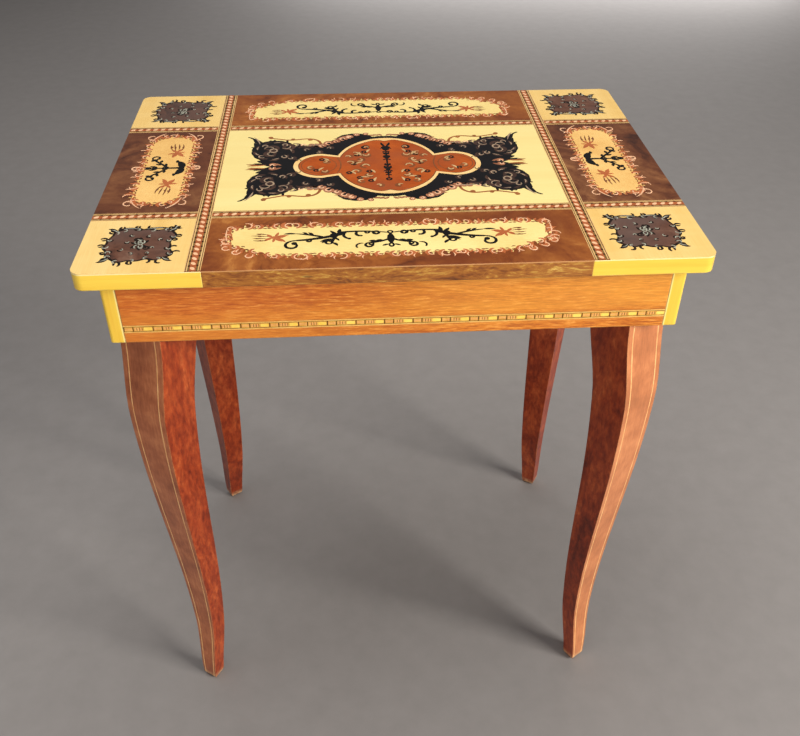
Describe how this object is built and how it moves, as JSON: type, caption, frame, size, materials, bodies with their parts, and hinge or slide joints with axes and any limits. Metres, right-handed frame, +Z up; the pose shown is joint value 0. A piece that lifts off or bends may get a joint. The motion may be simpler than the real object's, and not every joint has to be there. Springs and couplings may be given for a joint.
{
  "type": "musical side table",
  "caption": "Small side table with an inlaid lift-up lid, a shallow storage case holding a wind-up musical movement, and curved tapering legs.",
  "frame": {"origin": "on the floor, under the middle of the lid", "axes": "+X to the right, -Y towards the front, +Z up"},
  "size_m": [0.4, 0.288, 0.45],
  "materials": {
    "plywood": "sanded plywood",
    "felt": "dark red felt",
    "maple": "clear gloss lacquer",
    "burl": "clear gloss lacquer",
    "inlay": "clear gloss lacquer",
    "walnut": "clear gloss lacquer",
    "mahogany": "satin lacquer",
    "steel": "plain",
    "brass": "plain"
  },
  "bodies": {
    "table": {"case_front": "walnut", "case_back": "walnut", "case_left": "walnut", "case_right": "walnut", "corner_posts": "maple", "case_bottom": "plywood", "case_banding": "inlay", "well_lining": "felt", "movement_box": "plywood", "cover_ledges": "plywood", "movement_cover": "walnut", "cover_screws": "brass", "hinge_case_left": "brass", "hinge_case_right": "brass", "hinge_pins": "steel", "hinge_screws_case": "brass", "leg_fl": "mahogany", "leg_fr": "mahogany", "leg_bl": "mahogany", "leg_br": "mahogany", "leg_flanges": "steel", "flange_screws": "steel", "leg_bolts": "steel", "bedplate": "brass", "bedplate_screws": "steel", "arbor_bearings": "brass", "governor_frame": "steel", "comb": "steel", "comb_screws": "brass", "wrap_spring": "steel", "guide_tube": "brass", "plunger_spring": "steel"},
    "lid": {"lid_core": "plywood", "lid_lining": "felt", "lipping_maple": "maple", "lipping_burl": "burl", "panel_centre": "maple", "panel_front": "burl", "panel_back": "burl", "panel_left": "burl", "panel_right": "burl", "panel_corners": "maple", "bandings_cross": "inlay", "bandings_long": "inlay", "hinge_lid_left": "brass", "hinge_lid_right": "brass", "hinge_screws_lid": "brass"},
    "key": {"winding_arbor": "steel", "winding_key": "steel"},
    "barrel": {"barrel": "brass", "barrel_cap": "brass", "mainspring": "steel"},
    "cylinder": {"music_cylinder": "brass", "cylinder_arbor": "brass"},
    "governor": {"governor_wheel": "brass"},
    "fly": {"worm_fly": "brass"},
    "plunger": {"stop_plunger": "steel"}
  },
  "joints": [
    {"name": "lid_hinge", "type": "hinge", "parent": "table", "child": "lid", "pos_m": [0, 0.1346, 0.4379], "axis": [-1, 0, 0], "range_deg": [0, 105]},
    {"name": "key_turn", "type": "hinge", "parent": "table", "child": "key", "pos_m": [0.113, 0.091, 0.398], "axis": [0, 0, 1], "continuous": true},
    {"name": "barrel_spin", "type": "hinge", "parent": "table", "child": "barrel", "pos_m": [0.113, 0.091, 0.405], "axis": [0, 0, 1], "continuous": true},
    {"name": "cylinder_spin", "type": "hinge", "parent": "table", "child": "cylinder", "pos_m": [0.1405, 0.091, 0.4168], "axis": [1, 0, 0], "continuous": true},
    {"name": "governor_spin", "type": "hinge", "parent": "table", "child": "governor", "pos_m": [0.158, 0.1002, 0.4099], "axis": [1, 0, 0], "continuous": true},
    {"name": "fly_spin", "type": "hinge", "parent": "table", "child": "fly", "pos_m": [0.1581, 0.1077, 0.41], "axis": [0, 0, 1], "continuous": true},
    {"name": "plunger_slide", "type": "slide", "parent": "table", "child": "plunger", "axis": [0, 0, 1], "range_m": [0, 0.003]}
  ],
  "couplings": [
    {"joint": "cylinder_spin", "follows": "barrel_spin", "ratio": 2.5},
    {"joint": "governor_spin", "follows": "barrel_spin", "ratio": -9},
    {"joint": "fly_spin", "follows": "barrel_spin", "ratio": 90},
    {"joint": "plunger_slide", "follows": "lid_hinge", "m_per_rad": 0.0016}
  ]
}
